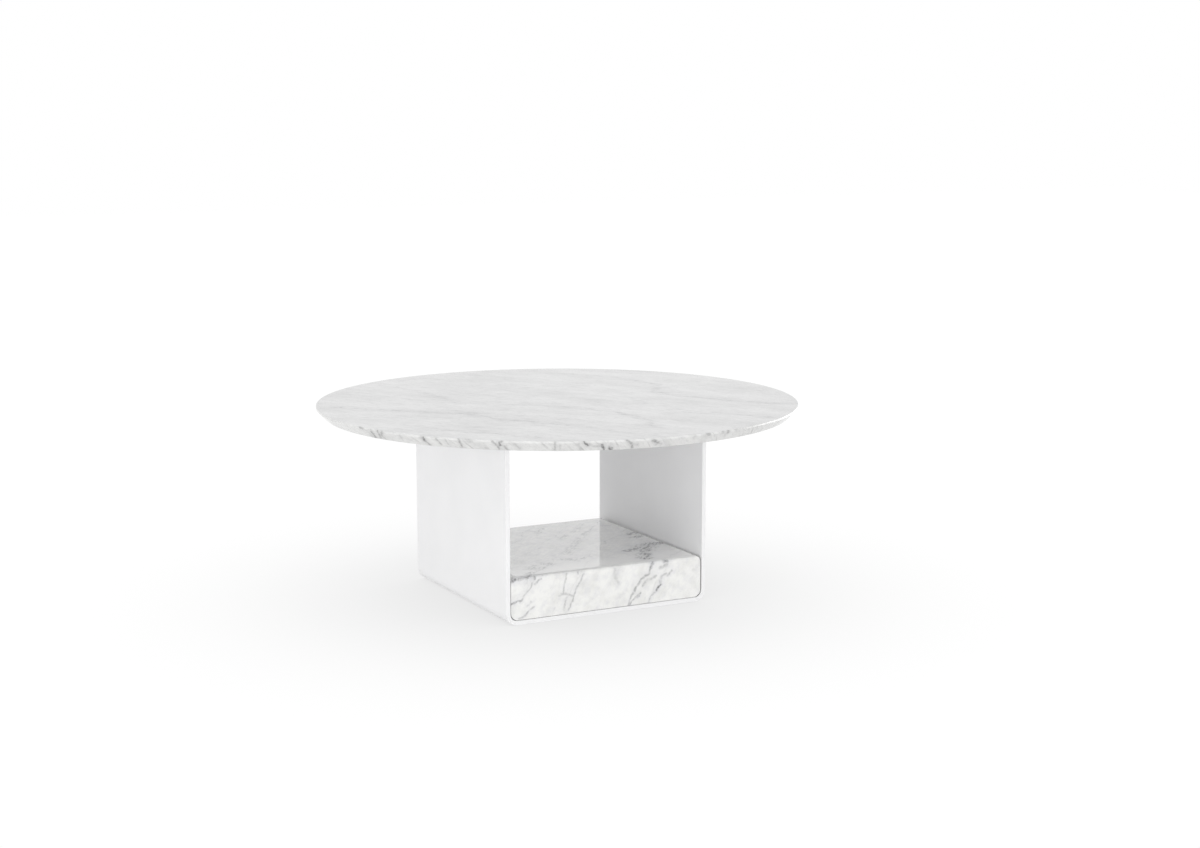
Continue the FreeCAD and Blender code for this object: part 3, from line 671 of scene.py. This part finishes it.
welds_low, welds_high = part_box("mounting_welds")
bead_leg = welds_high.z - welds_low.z
bead_rings = 2 * BEAD_RIPPLES
beads = bmesh.new()
for wall_x, inward in ((welds_low.x, 1), (welds_high.x, -1)):
    for start_y in (welds_low.y, -BEAD_LENGTH / 2, welds_high.y - BEAD_LENGTH):
        corner = Vector((wall_x, start_y, welds_high.z))
        crown = bead_leg * BEAD_CROWN
        ring = [
            beads.verts.new(corner),
            beads.verts.new(corner + Vector((0, 0, -bead_leg))),
            beads.verts.new(corner + Vector((inward * crown, 0, -crown))),
            beads.verts.new(corner + Vector((inward * bead_leg, 0, 0))),
        ]
        about_corner = Matrix.Translation(-corner)
        ring_size = BEAD_END
        bmesh.ops.scale(beads, vec=(ring_size, 1, ring_size), space=about_corner, verts=ring)
        end_face = [beads.faces.new(ring)]
        for count in range(1, bead_rings + 1):
            next_size = BEAD_END if count == bead_rings else 1 if count % 2 else BEAD_DIP
            drawn = bmesh.ops.extrude_face_region(beads, geom=end_face)
            if count > 1:
                bmesh.ops.delete(beads, geom=end_face, context="FACES_ONLY")
            end_face = [item for item in drawn["geom"] if isinstance(item, bmesh.types.BMFace)]
            ring = verts_in(drawn["geom"])
            growth = next_size / ring_size
            bmesh.ops.translate(beads, verts=ring, vec=(0, BEAD_LENGTH / bead_rings, 0))
            bmesh.ops.scale(beads, vec=(growth, 1, growth), space=about_corner, verts=ring)
            ring_size = next_size
finished_piece(beads, "weld_beads", powder_coat, "white_powder_coat", "mounting_welds")
dress(powder_coat, "mounting_plate")

# Top pads
# Pierced squares of the same clear silicone, laid over the screw holes in the mounting plate.
# The stone rests on them, and the screws that pass through keep them in place.
dress(silicone, "top_pad_")

# Threaded inserts
# Turned brass sleeves with an inner thread for the screws, gone a little dull.
# They are bonded into blind holes in the underside of the slab.
BRASS = (0.78, 0.62, 0.3, 1)
BRASS_DULL = (0.6, 0.46, 0.22, 1)
BRASS_TARNISH_SCALE = 300
BRASS_ROUGHNESS = (0.25, 0.45)

brass, brass_tree, brass_shader, brass_place = new_material("insert_brass")
brass_tarnish = speckle(brass_tree, brass_place, BRASS_TARNISH_SCALE, 4)
brass_tree.links.new(
    blend_colours(brass_tree, brass_tarnish, BRASS, BRASS_DULL), brass_shader.inputs["Base Color"]
)
brass_tree.links.new(
    between(brass_tree, brass_tarnish, *NOISE_SPAN, *BRASS_ROUGHNESS), brass_shader.inputs["Roughness"]
)
brass_shader.inputs["Metallic"].default_value = 1
dress(brass, "threaded_inserts")

# Marble top
# A round slab of white marble with soft grey veins running one way across it, honed smooth.
# Under its thin upright lip the edge is cut back at 45 degrees, and small dark marks show in the cut.
TOP_LIP = 0.0045
TOP_BEVEL_INSET = 0.0185
TOP_ARRIS = 0.0008
TOP_STEPS = 256
RIM_ANGLE = radians(30)
TOP_WHITE = (0.805, 0.805, 0.805, 1)
TOP_CLOUD = (0.66, 0.66, 0.66, 1)
TOP_VEIN = (0.3, 0.3, 0.31, 1)
# Painted shade: a greyer stone laid over the whole rim, so that the lip and the bevel render no brighter
# than the top face.
RIM_PAINTED_SHADE = (0.73, 0.73, 0.715, 1)
RIM_MARK = (0.1, 0.1, 0.1, 1)
RIM_MARK_LEAN = 0.9
RIM_MARK_DRAW = 0.25
TOP_VEIN_FACING = Vector((0.48, 0.32, 0.82))
TOP_STREAK_DRAW = 4.5
TOP_WAVER_SCALE = 24
TOP_WAVER = (0.06, 0.06, 0)
TOP_THREAD_SCALE = 210
TOP_THREAD_SPAN = (0.48, 0.66)
TOP_LINE_GRIT = (0.15, 1.1)
TOP_FLECK_SCALE = 130
TOP_FLECK_SPAN = (0.55, 0.68)
TOP_CLOUD_SCALE = 22
TOP_CLOUD_SPAN = (0.4, 0.7)
TOP_STREAK_SCALE = 90
TOP_STREAK_SPAN = (0.52, 0.7)
RIM_WAVER_SCALE = 160
RIM_WAVER = (0.01, 0.006, 0)
RIM_GRIT_SCALE = 220
RIM_FLECK_SCALE = 130
RIM_FLECK_SPAN = (0.54, 0.66)
RIM_PATCH_SCALE = 17
RIM_PATCH_SPAN = (0.46, 0.56)
RIM_PAINTED_SHADE_STAIN = 0.6
TOP_STREAK_STAIN = 0.2
TOP_THREAD_STAIN = 0.2
TOP_FLECK_STAIN = 0.16
TOP_HAZE_STAIN = 0.14
TOP_LINE_STAIN = 0.55
RIM_HAZE_STAIN = 0.3
RIM_MARK_STAIN = 0.85
TOP_ROUGHNESS = (0.14, 0.2)
TOP_RELIEF_SCALE = 500
TOP_RELIEF_DEPTH = 0.00002
# Each vein down through the slab: its points, across and back, its width and its darkness.
TOP_VEINS = (
    (((-0.479, 0.141), (-0.377, 0.031), (-0.251, -0.079), (-0.22, -0.189), (-0.141, -0.298)), 0.012, 1.0),
    (((-0.141, -0.298), (-0.063, -0.456)), 0.011, 0.7),
    (((-0.267, 0.44), (-0.212, 0.236), (-0.212, 0.079), (-0.094, -0.016)), 0.012, 0.6),
    (((-0.094, -0.016), (0.031, -0.173), (0.047, -0.33), (0.016, -0.408)), 0.012, 0.9),
    (((0.189, 0.408), (0.298, 0.267), (0.314, 0.11), (0.251, 0.016)), 0.012, 0.8),
    (((0.251, 0.016), (0.283, -0.079), (0.377, -0.236), (0.456, -0.298)), 0.012, 0.9),
    (((0.141, -0.267), (0.236, -0.33), (0.298, -0.424)), 0.012, 0.8),
    (((-0.456, -0.204), (-0.314, -0.33), (-0.251, -0.424)), 0.011, 0.7),
    (((0.165, -0.031), (0.149, -0.141), (0.173, -0.236)), 0.012, 0.4),
    (((-0.39, 0.314), (-0.3, 0.22), (-0.26, 0.08)), 0.012, 0.4),
)
# Each mark on the rim: its points, round from the front and down, its width and its darkness.
RIM_MARKS = (
    (((-0.709, 0.001), (-0.698, 0.003)), 0.005, 0.5),
    (((-0.672, 0.008), (-0.675, 0.021)), 0.006, 0.9),
    (((-0.651, 0.0), (-0.65, 0.01), (-0.658, 0.018)), 0.005, 0.6),
    (((-0.638, 0.005), (-0.646, 0.012)), 0.005, 0.5),
    (((-0.588, 0.008), (-0.59, 0.018)), 0.005, 0.2),
    (((-0.528, 0.005), (-0.53, 0.011)), 0.005, 1.0),
    (((-0.53, 0.011), (-0.524, 0.018), (-0.521, 0.021)), 0.005, 0.6),
    (((-0.498, 0.005), (-0.495, 0.012), (-0.494, 0.016)), 0.004, 0.5),
    (((-0.477, 0.005), (-0.477, 0.015)), 0.004, 0.3),
    (((-0.448, 0.0), (-0.447, 0.004), (-0.446, 0.01), (-0.446, 0.019)), 0.004, 0.6),
    (((-0.426, 0.001), (-0.422, 0.003)), 0.006, 0.4),
    (((-0.377, 0.001), (-0.373, 0.007), (-0.368, 0.013), (-0.367, 0.02)), 0.004, 0.6),
    (((-0.356, 0.0), (-0.362, 0.005)), 0.004, 0.7),
    (((-0.362, 0.005), (-0.363, 0.01)), 0.005, 1.0),
    (((-0.354, 0.014), (-0.35, 0.02)), 0.005, 0.5),
    (((-0.332, 0.008), (-0.324, 0.018)), 0.004, 0.25),
    (((-0.252, 0.0), (-0.252, 0.02)), 0.004, 0.4),
    (((-0.242, 0.008), (-0.242, 0.021)), 0.004, 0.25),
    (((-0.206, 0.004), (-0.2, 0.02)), 0.004, 0.2),
    (((-0.196, 0.0), (-0.191, 0.005), (-0.187, 0.01)), 0.004, 1.0),
    (((-0.184, 0.006), (-0.176, 0.0125), (-0.162, 0.013)), 0.004, 0.3),
    (((-0.158, 0.009), (-0.155, 0.015), (-0.151, 0.021)), 0.004, 1.0),
    (((-0.14, 0.018), (-0.137, 0.022)), 0.006, 1.0),
    (((-0.107, 0.002), (-0.102, 0.006), (-0.097, 0.01), (-0.093, 0.019)), 0.004, 0.6),
    (((-0.097, 0.011), (-0.084, 0.012), (-0.08, 0.016)), 0.004, 0.3),
    (((-0.053, 0.005), (-0.044, 0.0085), (-0.039, 0.012)), 0.005, 0.7),
    (((-0.039, 0.012), (-0.042, 0.0165)), 0.004, 0.4),
    (((-0.039, 0.012), (-0.028, 0.016)), 0.004, 0.3),
    (((0.072, 0.001), (0.079, 0.004)), 0.006, 0.5),
    (((0.115, 0.001), (0.116, 0.003)), 0.006, 0.4),
    (((0.129, 0.002), (0.131, 0.0045)), 0.006, 0.6),
    (((0.153, 0.0), (0.156, 0.002)), 0.005, 0.3),
)
# Past the stretch of rim that has these marks, flecks from noise take over.
RIM_MARKS_MIDDLE = -0.28
RIM_MARKS_REACH = 0.46
RIM_MARKS_FADE = 0.1
RIM_FLECK_STRENGTH = (0.3, 0.6)

top_low, top_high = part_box("marble_top")
top_radius = top_high.x

top_marble, top_tree, top_shader, top_place = new_material("top_marble")
top_streaks_place = stone_grain(top_tree, top_place, TOP_VEIN_FACING, TOP_STREAK_DRAW)
top_flat = reckon(top_tree, "MULTIPLY", top_place, (1, 1, 0))
top_waver = wandering(top_tree, top_flat, TOP_WAVER_SCALE, TOP_WAVER)
top_lines, top_hazes = drawn_veins(top_tree, top_waver, TOP_VEINS, lambda across, back: (across, back, 0))
top_threads = speckle(top_tree, top_streaks_place, TOP_THREAD_SCALE, 6, 0.7)
top_threads = between(top_tree, top_threads, *TOP_THREAD_SPAN, 0, 1)
top_line_grit = between(top_tree, top_threads, 0, GRIT_FULL, *TOP_LINE_GRIT)
top_lines = calculate(top_tree, "MULTIPLY", top_lines, top_line_grit)
top_flecks = speckle(top_tree, top_place, TOP_FLECK_SCALE, 4, 0.6)
top_flecks = between(top_tree, top_flecks, *TOP_FLECK_SPAN, 0, 1)
top_clouds = speckle(top_tree, top_streaks_place, TOP_CLOUD_SCALE, 7, 0.62)
top_streaks = speckle(top_tree, top_streaks_place, TOP_STREAK_SCALE, 5, 0.65)
top_streaks = between(top_tree, top_streaks, *TOP_STREAK_SPAN, 0, 1)
top_axes = place_node(top_tree, "ShaderNodeSeparateXYZ", {0: top_place}).outputs
from_axis = reckon(top_tree, "LENGTH", top_flat)
bevel_start = top_radius - TOP_BEVEL_INSET
on_bevel = between(top_tree, from_axis, bevel_start - TOP_ARRIS, bevel_start, 0, 1)
below_face = between(top_tree, top_axes["Z"], top_high.z - TOP_ARRIS, top_high.z, 1, 0)
on_rim = calculate(top_tree, "MULTIPLY", on_bevel, below_face)
towards_front = calculate(top_tree, "MULTIPLY", top_axes["Y"], -1)
round_rim = calculate(top_tree, "ARCTAN2", top_axes["X"], towards_front)
down_rim = calculate(top_tree, "SUBTRACT", top_high.z, top_axes["Z"])
along_rim = calculate(top_tree, "MULTIPLY", round_rim, top_radius)
rim_place = place_node(top_tree, "ShaderNodeCombineXYZ", {"X": along_rim, "Y": down_rim}).outputs[0]
rim_waver = wandering(top_tree, rim_place, RIM_WAVER_SCALE, RIM_WAVER)
rim_grit = speckle(top_tree, rim_place, RIM_GRIT_SCALE, 3)
rim_grit = between(top_tree, rim_grit, *GRIT_SPAN, *GRIT_GIVES)
rim_lines, rim_hazes = drawn_veins(top_tree, rim_waver, RIM_MARKS, lambda along, down: (along, down, 0))
rim_lines = calculate(top_tree, "MULTIPLY", rim_lines, rim_grit)
rim_hazes = calculate(top_tree, "MULTIPLY", rim_hazes, on_rim)
leaning = calculate(top_tree, "MULTIPLY", down_rim, RIM_MARK_LEAN)
leaning_along = calculate(top_tree, "SUBTRACT", along_rim, leaning)
drawn_down = calculate(top_tree, "MULTIPLY", down_rim, RIM_MARK_DRAW)
leaning_place = place_node(top_tree, "ShaderNodeCombineXYZ", {"X": leaning_along, "Y": drawn_down})
leaning_place = leaning_place.outputs[0]
rim_flecks = speckle(top_tree, leaning_place, RIM_FLECK_SCALE, 3)
rim_flecks = between(top_tree, rim_flecks, *RIM_FLECK_SPAN, 0, 1)
rim_patches = speckle(top_tree, leaning_place, RIM_PATCH_SCALE, 2)
rim_patches = between(top_tree, rim_patches, *RIM_PATCH_SPAN, 0, 1)
from_marks = calculate(top_tree, "SUBTRACT", along_rim, RIM_MARKS_MIDDLE)
from_marks = calculate(top_tree, "ABSOLUTE", from_marks)
marks_end = RIM_MARKS_REACH + RIM_MARKS_FADE
past_marks = between(top_tree, from_marks, RIM_MARKS_REACH, marks_end, *RIM_FLECK_STRENGTH)
rim_flecks = calculate(top_tree, "MULTIPLY", rim_flecks, rim_patches)
rim_flecks = calculate(top_tree, "MULTIPLY", rim_flecks, past_marks)
rim_mask = calculate(top_tree, "MAXIMUM", rim_lines, rim_flecks)
rim_mask = calculate(top_tree, "MULTIPLY", rim_mask, on_rim)
top_clouded = between(top_tree, top_clouds, *TOP_CLOUD_SPAN, 0, 1)
top_colour = blend_colours(top_tree, top_clouded, TOP_WHITE, TOP_CLOUD)
# The first stain is painted shade that greys the whole rim; the others are the stone's own veins, flecks
# and marks.
for stain, stain_mask, stain_amount in (
    (RIM_PAINTED_SHADE, on_rim, RIM_PAINTED_SHADE_STAIN),
    (TOP_VEIN, top_streaks, TOP_STREAK_STAIN),
    (TOP_VEIN, top_threads, TOP_THREAD_STAIN),
    (TOP_VEIN, top_flecks, TOP_FLECK_STAIN),
    (TOP_VEIN, top_hazes, TOP_HAZE_STAIN),
    (TOP_VEIN, top_lines, TOP_LINE_STAIN),
    (TOP_VEIN, rim_hazes, RIM_HAZE_STAIN),
    (RIM_MARK, rim_mask, RIM_MARK_STAIN),
):
    top_colour = stained(top_tree, top_colour, stain, stain_mask, stain_amount)
top_tree.links.new(top_colour, top_shader.inputs["Base Color"])
top_tree.links.new(
    between(top_tree, top_clouds, *NOISE_SPAN, *TOP_ROUGHNESS), top_shader.inputs["Roughness"]
)
top_relief = speckle(top_tree, top_place, TOP_RELIEF_SCALE, 3)
raise_surface(top_tree, top_shader, top_relief, TOP_RELIEF_DEPTH)

slab = bmesh.new()
outline = [
    slab.verts.new((0, 0, top_high.z)),
    slab.verts.new((top_radius, 0, top_high.z)),
    slab.verts.new((top_radius, 0, top_high.z - TOP_LIP)),
    slab.verts.new((top_radius - TOP_BEVEL_INSET, 0, top_low.z)),
    slab.verts.new((0, 0, top_low.z)),
]
profile = [slab.edges.new(pair) for pair in zip(outline, outline[1:])]
bmesh.ops.spin(
    slab,
    geom=outline + profile,
    cent=(0, 0, 0),
    axis=(0, 0, 1),
    angle=radians(360),
    steps=TOP_STEPS,
    use_merge=True,
)
bmesh.ops.remove_doubles(slab, verts=slab.verts, dist=TOP_ARRIS / 10)
bevel_edges(slab, edges_bent_past(slab, RIM_ANGLE), TOP_ARRIS, ARRIS_SEGMENTS)
finished_piece(slab, "top_slab", top_marble, "top_marble", "marble_top")

# Top screws and washers
# Socket screws of zinc-plated steel, driven up through the mounting plate into the inserts.
# Each clamps a plain washer over its oversize hole, so that the slab can be shifted true.
ZINC = (0.62, 0.63, 0.65, 1)
ZINC_DULL = (0.48, 0.49, 0.51, 1)
ZINC_BLOOM_SCALE = 400
ZINC_ROUGHNESS = (0.24, 0.42)

zinc, zinc_tree, zinc_shader, zinc_place = new_material("zinc_plated_steel")
zinc_bloom = speckle(zinc_tree, zinc_place, ZINC_BLOOM_SCALE, 4)
zinc_tree.links.new(
    blend_colours(zinc_tree, zinc_bloom, ZINC, ZINC_DULL), zinc_shader.inputs["Base Color"]
)
zinc_tree.links.new(
    between(zinc_tree, zinc_bloom, *NOISE_SPAN, *ZINC_ROUGHNESS), zinc_shader.inputs["Roughness"]
)
zinc_shader.inputs["Metallic"].default_value = 1
dress(zinc, "top_screws")
dress(zinc, "top_washers")

# Studio
# A white floor and a white surround light the table softly, with three broad lamps on its upright faces.
# A low strip beside the table, seen only in its gloss, draws the bright line along the slab's lip.
FLOOR_SIZE = 30
FLOOR_TONE = (0.92, 0.92, 0.92, 1)
FLOOR_SHADE_REACH = 3.0
FLOOR_DARKEST = 0.73
FLOOR_OPEN = 1.02
PLAIN_WHITE = (1, 1, 1, 1)
SURROUND_LIGHT = 0.795
FRONT_LAMP_PLACE = Vector((-1.2, -4.2, 0.65))
FRONT_LAMP_POWER = 48
LEFT_LAMP_PLACE = Vector((-4.2, -1.2, 0.65))
LEFT_LAMP_POWER = 32
RIGHT_LAMP_PLACE = Vector((4.2, -0.4, 0.65))
RIGHT_LAMP_POWER = 15
EDGE_LAMP_PLACE = Vector((1.45, -0.05, 0.22))
EDGE_LAMP_POWER = 4.5
LAMP_AIM = Vector((0, 0, 0.2))
LAMP_WIDTH = 4.0
LAMP_HEIGHT = 1.3
EDGE_LAMP_WIDTH = 1.5
EDGE_LAMP_HEIGHT = 0.36
CAMERA_PLACE = (-1.9521, -3.9210, 1.0959)
CAMERA_HEADING = radians(27.702)
CAMERA_DIP = radians(9.298)
CAMERA_LENS = 59.62

white_floor = bpy.data.materials.new("white_floor")
white_floor.use_nodes = True
white_floor.cycles.emission_sampling = "NONE"
floor_tree = white_floor.node_tree
floor_tree.nodes.clear()


def looked_at(tree):
    """1 where the camera sees a surface, directly, in a gloss or through glass."""
    rays = tree.nodes.new("ShaderNodeLightPath").outputs
    seen = calculate(tree, "MAXIMUM", rays["Is Camera Ray"], rays["Is Glossy Ray"])
    return calculate(tree, "MAXIMUM", seen, rays["Is Transmission Ray"])


floor_plain = place_node(floor_tree, "ShaderNodeBsdfDiffuse", {"Color": FLOOR_TONE})
# The floor that is looked at darkens where the table hides the surround from it.
floor_openness = place_node(floor_tree, "ShaderNodeAmbientOcclusion", {"Distance": FLOOR_SHADE_REACH})
floor_shade = between(floor_tree, floor_openness.outputs["AO"], 0, 1, FLOOR_DARKEST, FLOOR_OPEN)
floor_seen = place_node(floor_tree, "ShaderNodeEmission", {"Strength": floor_shade})
floor_mix = place_node(
    floor_tree,
    "ShaderNodeMixShader",
    {0: looked_at(floor_tree), 1: floor_plain.outputs[0], 2: floor_seen.outputs[0]},
)
place_node(floor_tree, "ShaderNodeOutputMaterial", {"Surface": floor_mix.outputs[0]})

ground = bmesh.new()
bmesh.ops.create_grid(ground, x_segments=1, y_segments=1, size=FLOOR_SIZE / 2)
ground_mesh = bpy.data.meshes.new("floor")
ground.to_mesh(ground_mesh)
ground.free()
ground_mesh.materials.append(white_floor)
floor = bpy.data.objects.new("floor", ground_mesh)
bpy.context.scene.collection.objects.link(floor)

surround = bpy.data.worlds.new("white_surround")
surround.use_nodes = True
surround_tree = surround.node_tree
surround_tree.nodes.clear()
surround_lit = place_node(
    surround_tree, "ShaderNodeBackground", {"Color": PLAIN_WHITE, "Strength": SURROUND_LIGHT}
)
surround_seen = place_node(surround_tree, "ShaderNodeBackground", {"Color": PLAIN_WHITE, "Strength": 1})
surround_mix = place_node(
    surround_tree,
    "ShaderNodeMixShader",
    {0: looked_at(surround_tree), 1: surround_lit.outputs[0], 2: surround_seen.outputs[0]},
)
place_node(surround_tree, "ShaderNodeOutputWorld", {"Surface": surround_mix.outputs[0]})
bpy.context.scene.world = surround


def add_lamp(name, place, width, height, power):
    """A broad rectangular lamp that faces the table and is out of the camera's sight."""
    data = bpy.data.lights.new(name, "AREA")
    data.shape = "RECTANGLE"
    data.size = width
    data.size_y = height
    data.energy = power
    lamp = bpy.data.objects.new(name, data)
    lamp.location = place
    lamp.rotation_euler = (LAMP_AIM - place).to_track_quat("-Z", "Y").to_euler()
    lamp.visible_camera = False
    bpy.context.scene.collection.objects.link(lamp)
    return lamp


for lamp_name, lamp_place, lamp_power in (
    ("front_lamp", FRONT_LAMP_PLACE, FRONT_LAMP_POWER),
    ("left_lamp", LEFT_LAMP_PLACE, LEFT_LAMP_POWER),
    ("right_lamp", RIGHT_LAMP_PLACE, RIGHT_LAMP_POWER),
):
    broad_lamp = add_lamp(lamp_name, lamp_place, LAMP_WIDTH, LAMP_HEIGHT, lamp_power)
    broad_lamp.visible_glossy = False
edge_lamp = add_lamp("edge_lamp", EDGE_LAMP_PLACE, EDGE_LAMP_WIDTH, EDGE_LAMP_HEIGHT, EDGE_LAMP_POWER)
edge_lamp.visible_diffuse = False

camera_data = bpy.data.cameras.new("camera")
camera_data.lens = CAMERA_LENS
camera_data.sensor_fit = "HORIZONTAL"
camera = bpy.data.objects.new("camera", camera_data)
camera.location = CAMERA_PLACE
camera.rotation_euler = (radians(90) - CAMERA_DIP, 0, -CAMERA_HEADING)
bpy.context.scene.collection.objects.link(camera)
bpy.context.scene.camera = camera
bpy.context.scene.view_settings.view_transform = "Standard"
